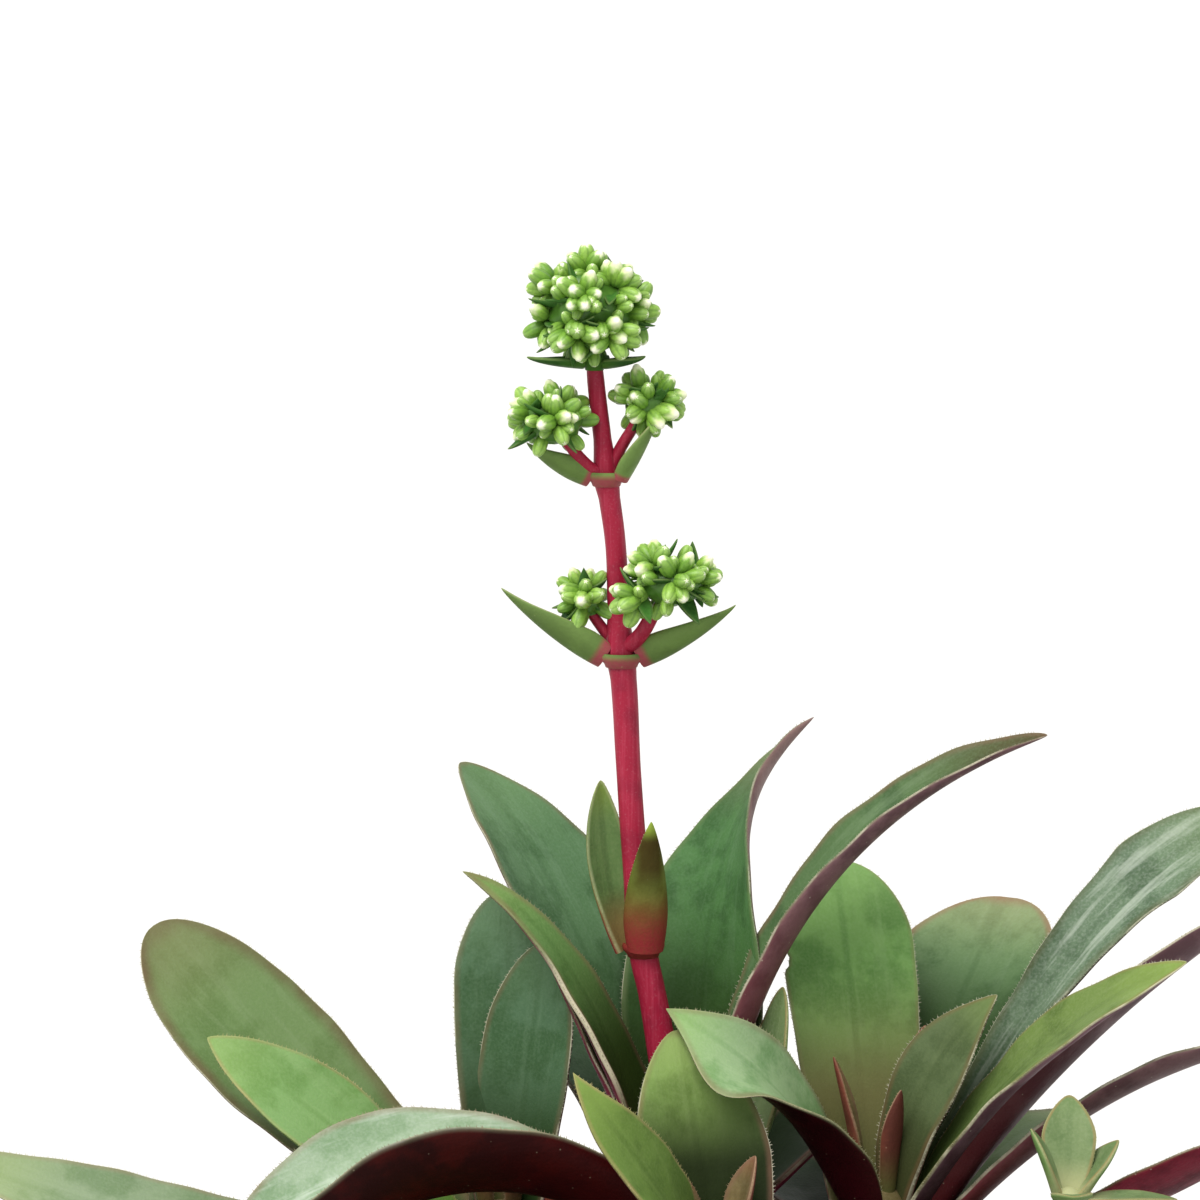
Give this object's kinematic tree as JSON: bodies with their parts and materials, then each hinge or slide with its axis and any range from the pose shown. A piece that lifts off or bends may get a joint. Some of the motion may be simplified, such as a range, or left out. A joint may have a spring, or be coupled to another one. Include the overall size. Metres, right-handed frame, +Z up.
{
  "type": "potted crassula rosularis",
  "caption": "Succulent clump of channelled leaf rosettes with a red flower stalk, paired bracts and bud heads, standing in the soil of a round plastic pot.",
  "frame": {"origin": "centre of the flat underside of the pot", "axes": "+Z up, +X to the right and +Y away from the viewer as in the picture's view"},
  "size_m": [0.1633, 0.1184, 0.2026],
  "materials": {
    "pot_plastic": "satin",
    "soil": "matte",
    "leaf_green": "satin",
    "crown_green": "satin",
    "stalk_red": "satin",
    "bract_green": "satin",
    "bud_green": "satin",
    "plantlet_green": "satin"
  },
  "bodies": {
    "root": {"pot": "pot_plastic", "soil": "soil", "crown_main": "crown_green", "leaf_main_tall_left": "leaf_green", "leaf_main_tall_right": "leaf_green", "leaf_main_arch_right": "leaf_green", "leaf_main_inner_left": "leaf_green", "leaf_main_slender": "leaf_green", "leaf_main_back": "leaf_green", "leaf_main_back_left": "leaf_green", "leaf_main_back_right": "leaf_green", "crown_left": "crown_green", "leaf_left_blunt": "leaf_green", "leaf_left_small": "leaf_green", "leaf_left_big": "leaf_green", "leaf_left_light": "leaf_green", "leaf_left_low": "leaf_green", "leaf_left_back": "leaf_green", "leaf_left_back_low": "leaf_green", "leaf_left_front_low": "leaf_green", "leaf_left_front": "leaf_green", "crown_right": "crown_green", "leaf_right_upright": "leaf_green", "leaf_right_broad": "leaf_green", "leaf_right_long": "leaf_green", "leaf_right_light": "leaf_green", "leaf_right_maroon": "leaf_green", "leaf_right_thin": "leaf_green", "leaf_right_corner": "leaf_green", "leaf_right_short": "leaf_green", "leaf_right_fold_left": "leaf_green", "leaf_right_front_low": "leaf_green", "leaf_right_back_low": "leaf_green", "leaf_right_back_left": "leaf_green", "leaf_right_back_right": "leaf_green", "offset_plantlet": "plantlet_green", "crown_front": "crown_green", "leaf_front_arch_left": "leaf_green", "leaf_front_tip_left": "leaf_green", "leaf_front_face": "leaf_green", "leaf_front_low_left": "leaf_green", "leaf_front_low_right": "leaf_green", "flower_stalk": "stalk_red", "bracts_first": "bract_green", "bracts_second": "bract_green", "bracts_third": "bract_green", "bracts_fourth": "bract_green", "bud_head_top": "bud_green", "bud_head_mid_left": "bud_green", "bud_head_mid_right": "bud_green", "bud_head_low_left": "bud_green", "bud_head_low_right": "bud_green"}
  },
  "joints": []
}
